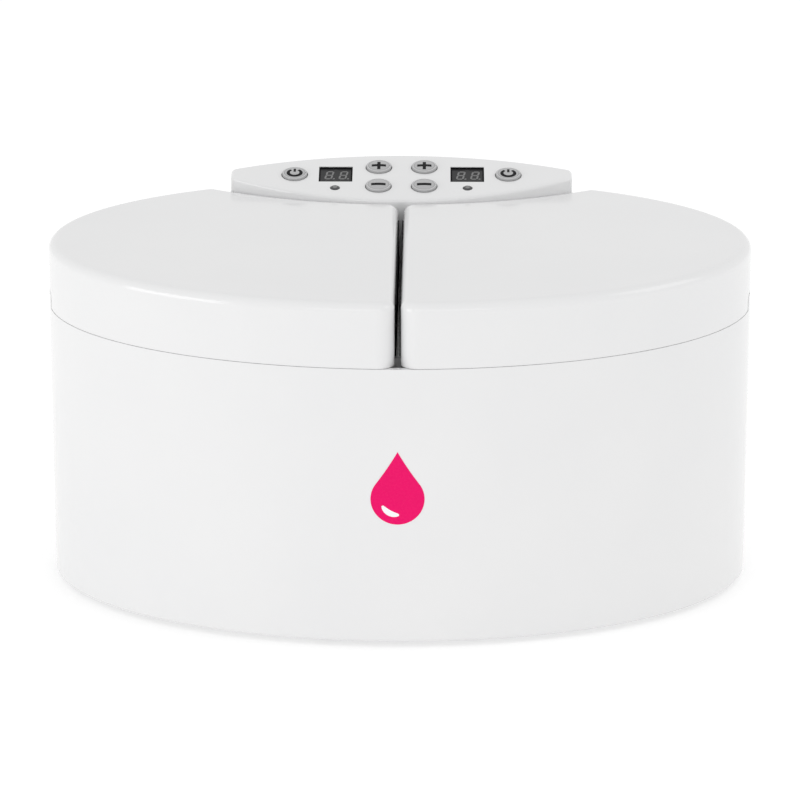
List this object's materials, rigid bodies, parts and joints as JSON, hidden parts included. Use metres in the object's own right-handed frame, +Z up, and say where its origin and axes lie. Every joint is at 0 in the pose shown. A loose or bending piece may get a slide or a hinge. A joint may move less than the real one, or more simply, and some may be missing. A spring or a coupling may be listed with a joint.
{
  "type": "twin wax heater",
  "caption": "Oval table-top wax heater: heated wells with lift-out pots under butterfly lids, and a sloping rear control panel with displays and push buttons.",
  "frame": {"origin": "on the standing surface, under the centre of the oval", "axes": "+X to the right along the oval's long axis, +Y to the rear where the control pod stands, +Z up"},
  "size_m": [0.312, 0.2, 0.1666],
  "materials": {
    "housing_white": "gloss white moulded plastic",
    "deck_white": "satin white moulded plastic",
    "pod_white": "gloss white moulded plastic",
    "lid_white": "gloss white moulded plastic",
    "base_grey": "fine grained pale plastic",
    "foot_rubber": "matt black rubber",
    "screw_steel": "zinc plated steel",
    "seal_black": "matt black silicone",
    "pot_aluminium": "spun aluminium",
    "well_aluminium": "cast and turned aluminium",
    "heater_steel": "steel sheathed mica band",
    "jacket_felt": "needled glass felt",
    "probe_brass": "bright",
    "cutoff_steel": "bright",
    "board_green": "solder masked board",
    "switch_black": "matt black",
    "terminal_green": "matt",
    "display_face": "smoked face with pale segments",
    "lamp_lens": "clear epoxy lens",
    "button_silver": "silver grey paint with dark symbols",
    "inlet_black": "matt black",
    "pin_brass": "bright",
    "front_print": "magenta pad print, a plain droplet",
    "ribbon_grey": "matt grey insulation"
  },
  "bodies": {
    "housing": {"band_heater_left": "heater_steel", "band_heater_right": "heater_steel", "base_plate": "base_grey", "base_screws": "screw_steel", "center_divider": "deck_white", "control_pod": "pod_white", "deck_screws": "screw_steel", "display_gasket_left": "seal_black", "display_gasket_right": "seal_black", "display_left": "display_face", "display_right": "display_face", "heating_well_left": "well_aluminium", "heating_well_right": "well_aluminium", "hinge_pin_left": "screw_steel", "hinge_pin_right": "screw_steel", "housing_shell": "housing_white", "indicator_lamp_left": "lamp_lens", "indicator_lamp_right": "lamp_lens", "inlet_pins": "pin_brass", "inlet_screws": "screw_steel", "inner_pot_left": "pot_aluminium", "inner_pot_right": "pot_aluminium", "insulation_jacket_left": "jacket_felt", "insulation_jacket_right": "jacket_felt", "mains_inlet": "inlet_black", "panel_board": "board_green", "panel_board_screws": "screw_steel", "pod_screws": "screw_steel", "power_board": "board_green", "power_board_screws": "screw_steel", "relays": "switch_black", "ribbon_cable": "ribbon_grey", "ribbon_sockets": "switch_black", "rubber_feet": "foot_rubber", "tact_switches": "switch_black", "temperature_probe_left": "probe_brass", "temperature_probe_right": "probe_brass", "terminal_block": "terminal_green", "thermal_cutoff_left": "cutoff_steel", "thermal_cutoff_right": "cutoff_steel", "top_deck": "deck_white", "transformer": "switch_black", "well_screws": "screw_steel"},
    "lid_left": {"lid_left": "lid_white", "lid_edge_seal_left": "seal_black"},
    "lid_right": {"lid_right": "lid_white", "lid_edge_seal_right": "seal_black"},
    "power_button_left": {"power_button_left": "button_silver"},
    "power_button_right": {"power_button_right": "button_silver"},
    "plus_button_left": {"plus_button_left": "button_silver"},
    "plus_button_right": {"plus_button_right": "button_silver"},
    "minus_button_left": {"minus_button_left": "button_silver"},
    "minus_button_right": {"minus_button_right": "button_silver"}
  },
  "joints": [
    {"name": "lid_left_hinge", "type": "hinge", "parent": "housing", "child": "lid_left", "pos_m": [-0.153, 0, 0.1306], "axis": [0, -1, 0], "range_deg": [0, 95]},
    {"name": "lid_right_hinge", "type": "hinge", "parent": "housing", "child": "lid_right", "pos_m": [0.153, 0, 0.1306], "axis": [0, 1, 0], "range_deg": [0, 95]},
    {"name": "power_button_left_press", "type": "slide", "parent": "housing", "child": "power_button_left", "axis": [0, 0.2233, -0.9748], "range_m": [0, 0.0008], "stiffness_N_per_m": 400},
    {"name": "power_button_right_press", "type": "slide", "parent": "housing", "child": "power_button_right", "axis": [0, 0.2233, -0.9748], "range_m": [0, 0.0008], "stiffness_N_per_m": 400},
    {"name": "plus_button_left_press", "type": "slide", "parent": "housing", "child": "plus_button_left", "axis": [0, 0.2233, -0.9748], "range_m": [0, 0.0008], "stiffness_N_per_m": 400},
    {"name": "plus_button_right_press", "type": "slide", "parent": "housing", "child": "plus_button_right", "axis": [0, 0.2233, -0.9748], "range_m": [0, 0.0008], "stiffness_N_per_m": 400},
    {"name": "minus_button_left_press", "type": "slide", "parent": "housing", "child": "minus_button_left", "axis": [0, 0.2233, -0.9748], "range_m": [0, 0.0008], "stiffness_N_per_m": 400},
    {"name": "minus_button_right_press", "type": "slide", "parent": "housing", "child": "minus_button_right", "axis": [0, 0.2233, -0.9748], "range_m": [0, 0.0008], "stiffness_N_per_m": 400}
  ]
}
